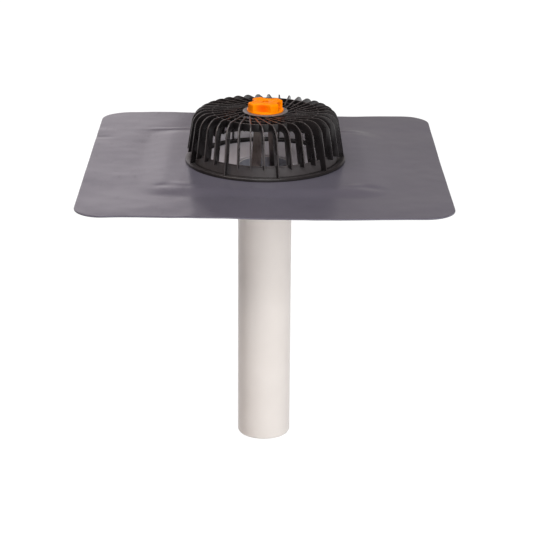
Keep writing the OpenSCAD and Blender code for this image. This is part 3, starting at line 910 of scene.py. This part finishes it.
def along(radius):
    """Distance along a fin at which it is at that radius from the axis."""
    return math.sqrt(radius ** 2 - SWIRL_R ** 2)


def lean_r(z):
    """Outside radius of the leaning fins at a height."""
    return GUARD_R - (z - ring_high.z) * math.tan(math.radians(FIN_LEAN))


def slot_r(z):
    """Radius of the fin slot's outer side, just clear of the ring's leaning wall."""
    return RIM_R + SLOT_GAP + WALL_LEAN * (ring_high.z - z) / (ring_high.z - FLANGE_H + GROOVE_D)


def shoulder_centre():
    """Centre of the fins' round shoulder, as distance along the fin and height."""
    lean = math.radians(FIN_LEAN)
    z = GUARD_H - SHOULDER_R
    return along(lean_r(z + SHOULDER_R * math.sin(lean))) - SHOULDER_R * math.cos(lean), z


def top_z(reach):
    """Height of a fin's top edge at a distance along it, falling evenly from the shoulder to the hub."""
    shoulder = shoulder_centre()[0]
    return GUARD_H - TOP_FALL * (shoulder - reach) / (shoulder - along(HUB_R))


def fin_outline(start_r, low):
    """Distance along the fin and height: the top, shoulder, leaning limb, slotted end and the bend inside."""
    start, under = along(start_r), GUARD_H - TOP_BAR_H
    inner = along(lean_r(under - FIN_BEND_R) - FIN_DEPTH)
    slot_top, slot_in = ring_high.z + SLOT_GAP, RIM_R - WALL_T - SLOT_GAP
    prong_in = along(slot_in - PRONG_W)
    end = [(along(lean_r(low)), low), (along(slot_r(low)), low), (along(slot_r(slot_top)), slot_top),
           (along(slot_in), slot_top), (along(slot_in), low), (prong_in, low), (prong_in, slot_top)]
    bend = arc((inner - FIN_BEND_R, under - FIN_BEND_R), FIN_BEND_R, FIN_LEAN, 90, 6)
    return ([(start, top_z(start))] + arc(shoulder_centre(), SHOULDER_R, 90, FIN_LEAN, 14) + end + bend
            + [(start, under)])


def fin(start_r, low):
    """One fin, from its start at a radius out over the shoulder and down to a height."""
    points = [(-SWIRL_R - FIN_T / 2, -reach, z) for reach, z in fin_outline(start_r, low)]
    piece = outline("fin", points, True)
    thicken(piece, (FIN_T, 0, 0))
    bevel(piece, 0.35, 2, 25)
    smooth(piece, 35)
    return piece


def hoop(name, outer, inner, low, high, ease_r=0.5, steps=144):
    """A plain ring round the axis, with its edges eased."""
    corners = ((outer, low), (outer, high), (inner, high), (inner, low))
    return turned(name, eased([(r, z, ease_r) for r, z in corners]), steps)


def mark_edges(piece):
    """Marks the fins' narrow faces and the hoops' tops, which the finish makes paler as a painted highlight.
    """
    edge = piece.data.attributes.new("edge", "FLOAT", "FACE")
    for face in piece.data.polygons:
        x, y, _ = face.center / MM
        radius = max(math.hypot(x, y), HUB_R)
        turn = math.atan2(y, x) - math.atan2(-along(radius), -SWIRL_R)
        across = face.normal.x * math.cos(turn) + face.normal.y * math.sin(turn)
        narrow = abs(across) < 0.7 and (face.normal.z > 0.5 or radius > LIMB_R)
        edge.data[face.index].value = 1.0 if narrow else 0.0


def leaf_guard():
    """Fins in sets of FOOT_EVERY, the first of each reaching the ring's flange, with hoops and the hub."""
    step = 360 / FIN_COUNT
    parts = []
    for k in range(FOOT_EVERY):
        model = fin(SHORT_FIN_R if k % 2 else LONG_FIN_R, ring_high.z - SHORT_FIN_REACH if k else guard_low.z)
        parts += copies_round(model, FIN_COUNT // FOOT_EVERY, GUARD_TURN + k * step)
    for name, outer, height in HOOPS:
        top = top_z(along(outer)) - HOOP_SINK
        parts.append(hoop(name, outer, outer - HOOP_T, top - height, top))
    foot = ring_high.z
    parts.append(hoop("foot_hoop", RIM_R - 0.1, RIM_R - WALL_T + 0.1, foot, foot + FOOT_HOOP_H, 0.4, 192))
    seat, under, bore = HUB_SEAT, HUB_SEAT - HUB_T, STUD_R + 0.6
    hub = [(bore, seat - BOSS_H, 0.3), (BOSS_R, seat - BOSS_H, 0.6), (BOSS_R, under, 1.2),
           (HUB_R, under, 0.6), (HUB_R, seat, 0.5), (RECESS_R, seat, 0.2),
           (RECESS_R, seat - RECESS_D, 0.2), (bore, seat - RECESS_D, 0.2)]
    parts.append(turned("hub", eased(hub), 96))
    piece = joined("guard_moulding", parts)
    mark_edges(piece)
    return piece


# ---------------------------------------------------------------- yoke, shoes, stud and nut


def yoke_line():
    """Half of the yoke's middle line, from the crown out and down to the foot, as (reach, height)."""
    crown, low = yoke_high.z - YOKE_T / 2, yoke_low.z
    foot_r = PIPE_BORE_R - SHOE_T - YOKE_T / 2
    return eased([(0, crown, 0), (CROWN_HALF, crown, CROWN_BEND_R), (foot_r, low + LEG_END_H, LEG_BEND_R),
                  (foot_r, low, 0)], 8)


def yoke():
    """The spring strip, an inverted U."""
    half = yoke_line()
    line = [(-x, z) for x, z in reversed(half[1:])] + half
    piece = strip_along("spring_yoke", line, YOKE_W)
    apply_modifier(piece, "SOLIDIFY", thickness=YOKE_T * MM, offset=0)
    bevel(piece, 0.25, 2, 40)
    piece.rotation_euler.z = math.radians(YOKE_TURN)
    lay_flat(piece)
    smooth(piece)
    return piece


def strip_along(name, line, width):
    """A flat strip of a width, following a line of (x, z) points."""
    deselect()
    bpy.ops.mesh.primitive_grid_add(x_subdivisions=len(line) - 1, y_subdivisions=2, size=1)
    piece = bpy.context.object
    piece.name = name
    columns = sorted({round(v.co.x, 5) for v in piece.data.vertices})
    for vertex in piece.data.vertices:
        x, z = line[columns.index(round(vertex.co.x, 5))]
        vertex.co = Vector((x, vertex.co.y * width, z)) * MM
    return piece


def shoe(name, side):
    """A rubber shoe under a foot of the yoke, with its outer face bent to the pipe's bore."""
    face, low = PIPE_BORE_R - SHOE_T, yoke_low.z
    high, sole, grip, toe = low + SHOE_H, low - SHOE_SOLE, PIPE_BORE_R - 0.1, face - SHOE_TOE
    corners = [(face, high, 0.3), (grip, high, 0.6), (grip, sole, 0.6), (toe, sole, 0.6),
               (toe, low - 0.1, 0.4), (face, low - 0.1, 0.1)]
    piece = outline(name, [(x, -YOKE_W / 2, z) for x, z in eased(corners)], True)
    thicken(piece, (0, YOKE_W, 0))
    bevel(piece, 0.4, 2, 40)
    for vertex in piece.data.vertices:
        x, y = vertex.co.x / MM, vertex.co.y / MM
        share = 1 if x > face + 0.2 else 0.5
        vertex.co.x -= (x - math.sqrt(max(x * x - y * y, 0))) * share * MM
    piece.rotation_euler.z = math.radians(YOKE_TURN + side)
    lay_flat(piece)
    smooth(piece)
    return piece


def stud():
    """A round-headed screw with a true helical thread."""
    low, high = stud_low.z, stud_high.z
    head_top = low + STUD_HEAD_H
    head = turned("head", eased([(0, low, 0), (5, low, 2), (STUD_HEAD_R, head_top - 1.6, 2),
                                 (STUD_HEAD_R, head_top, 0.3), (0, head_top, 0)]), 64)
    thread_low, thread_high = head_top + SHANK_H, high - 1.2
    root, shank = STUD_R - THREAD_DEPTH, STUD_R - 0.05
    core = turned("core", [(0, head_top - 1), (shank, head_top - 1), (shank, thread_low - 0.6),
                           (root, thread_low), (root, thread_high), (root - 0.4, high), (0, high)], 48)
    return joined("clamp_stud", [head, core, thread(root - 0.05, STUD_R, thread_low, thread_high)])


def thread(root, crest, low, high):
    """The ridge of a thread, a blunt triangle carried up a helix and let die away at both ends."""
    count = int((high - low) / THREAD_PITCH * THREAD_STEPS)
    foot = THREAD_PITCH * 0.46
    flat = foot * 0.2
    rings = []
    for i in range(count + 1):
        angle, z = 2 * math.pi * i / THREAD_STEPS, low + THREAD_PITCH * i / THREAD_STEPS
        tip = root + (crest - root) * min(1, i / THREAD_RUN_OUT, (count - i) / THREAD_RUN_OUT)
        ridge = ((root, z - foot), (tip, z - flat), (tip, z + flat), (root, z + foot))
        rings.append([(r * math.cos(angle), r * math.sin(angle), h) for r, h in ridge])
    piece = skinned("thread", rings, capped=True)
    smooth(piece, 25)
    return piece


def lock_nut():
    """A hexagon nut with its corners chamfered."""
    low, high = nut_low.z, nut_high.z
    corner_r = NUT_ACROSS / 2 / math.cos(math.radians(30))
    piece = rod(corner_r, high - low, (high + low) / 2, 6, 30)
    lay_flat(piece)
    bevel(piece, 0.3)
    cut(piece, rod(STUD_R + 0.01, 60, low, 48))
    cone = turned("cone", [(5.9, low), (7.6, low + NUT_CHAMFER), (7.6, high - NUT_CHAMFER), (5.9, high),
                           (0, high), (0, low)], 48)
    cut(piece, cone, "INTERSECT")
    smooth(piece, 25)
    piece.name = "crown_nut"
    return piece


# ---------------------------------------------------------------- washer, knob and insert


def washer():
    """A flat disc, eased at its edges."""
    low, high, outer = washer_low.z, washer_high.z, washer_high.x
    section = [(outer, low, 0.25), (outer, high, 0.25), (WASHER_HOLE_R, high, 0.2), (WASHER_HOLE_R, low, 0.2)]
    return turned("disc_washer", eased(section), 128)


def lobed_radius(angle, outer):
    """Radius of the scalloped outline at an angle, with the lobes' corners rounded off."""
    pitch = 2 * math.pi / SCALLOP_COUNT
    off = (angle - math.radians(SCALLOP_TURN) + pitch / 2) % pitch - pitch / 2
    centre = outer - SCALLOP_DEPTH + SCALLOP_R
    inside = SCALLOP_R ** 2 - (centre * math.sin(off)) ** 2
    if inside <= 0:
        return outer
    scallop = centre * math.cos(off) - math.sqrt(inside)
    near = math.exp(-LOBE_ROUNDNESS * (scallop - outer))
    return outer - math.log(near + 1) / LOBE_ROUNDNESS


def knob_levels():
    """Height, radius and share of the scallops, from the base ledge up over the rounded top edge."""
    low, high, outer = knob_low.z, knob_high.z, knob_high.x
    ledge, grip = low + KNOB_LEDGE_H, outer - KNOB_INSET
    base = [(low, grip, 0), (low + 0.15, outer - 0.06, 0), (low + 0.4, outer, 0), (ledge - 0.6, outer, 0),
            (ledge - 0.15, outer - 0.15, 0), (ledge, outer - 0.5, 0), (ledge + 0.05, outer - 0.5, 0.86),
            (ledge + 0.3, outer - 0.4, 0.95), (ledge + 1.0, grip, 1), (low + 7, grip, 1)]
    edge = arc((grip - KNOB_EDGE_R, high - KNOB_EDGE_R), KNOB_EDGE_R, 0, 90, 8)
    return base + [(z, radius, 1) for radius, z in edge]


def knob():
    """Rings of points from the base up, round at the ledge, scalloped above it, and down through the hole."""
    low, high, outer = knob_low.z, knob_high.z, knob_high.x
    angles = [2 * math.pi * i / KNOB_ROUND for i in range(KNOB_ROUND)]
    hole = [(high, KNOB_HOLE_R + 0.6, 0), (high - 0.25, KNOB_HOLE_R + 0.15, 0), (high - 0.7, KNOB_HOLE_R, 0),
            (insert_high.z, KNOB_HOLE_R, 0), (insert_high.z, INSERT_R, 0), (low, INSERT_R, 0)]
    rings = []
    for z, radius, lobed in knob_levels() + hole:
        reach = [radius + (lobed_radius(a, outer) - outer) * lobed for a in angles]
        rings.append([(r * math.cos(a), r * math.sin(a), z) for r, a in zip(reach, angles)])
    piece = skinned("screw_knob", rings, wrapped=True)
    smooth(piece, 40)
    return piece


def knob_insert():
    """The brass bush, with a lip below the washer that keeps the washer on the knob."""
    low, high, base = insert_low.z, insert_high.z, knob_low.z
    bore, lip_top = STUD_R + 0.1, low + INSERT_LIP_H
    section = eased([(bore, low, 0.1), (INSERT_LIP_R, low, 0.2), (INSERT_LIP_R, lip_top, 0.2),
                     (INSERT_NECK_R, lip_top, 0.1), (INSERT_NECK_R, base, 0.1), (INSERT_R, base, 0.1),
                     (INSERT_R, high, 0.3), (bore, high, 0.4)])
    return turned("brass_insert", section, 64)


# ---------------------------------------------------------------- the whole drain

add_camera()
add_lights()
add_world()

rubber = black_rubber()
zinc = zinc_steel()
sheet = finished(membrane(), "membrane", "drain", membrane_finish())
body = finished(drain_body(), "drain_body", "drain", body_grey())
finished(outlet_pipe(), "outlet_pipe", "drain", pipe_white())
finished(pipe_seal(), "pipe_seal", "drain", rubber)
finished(base_ring(), "base_ring", "drain", ring_black())
finished(leaf_guard(), "leaf_guard", "drain", moulded_black())
finished(ring_lining(), None, "drain", grey_lining())
finished(yoke(), "yoke", "drain", stainless())
finished(shoe("grip_shoe_front", 0), "front_shoe", "drain", rubber)
finished(shoe("grip_shoe_back", 180), "back_shoe", "drain", rubber)
finished(stud(), "stud", "drain", zinc)
finished(lock_nut(), "lock_nut", "drain", zinc)
finished(washer(), "washer", "washer", washer_grey())
finished(knob(), "knob", "knob", knob_orange())
finished(knob_insert(), "knob_insert", "knob", turned_brass())

add_floor()
bpy.context.scene.view_settings.view_transform = "Standard"
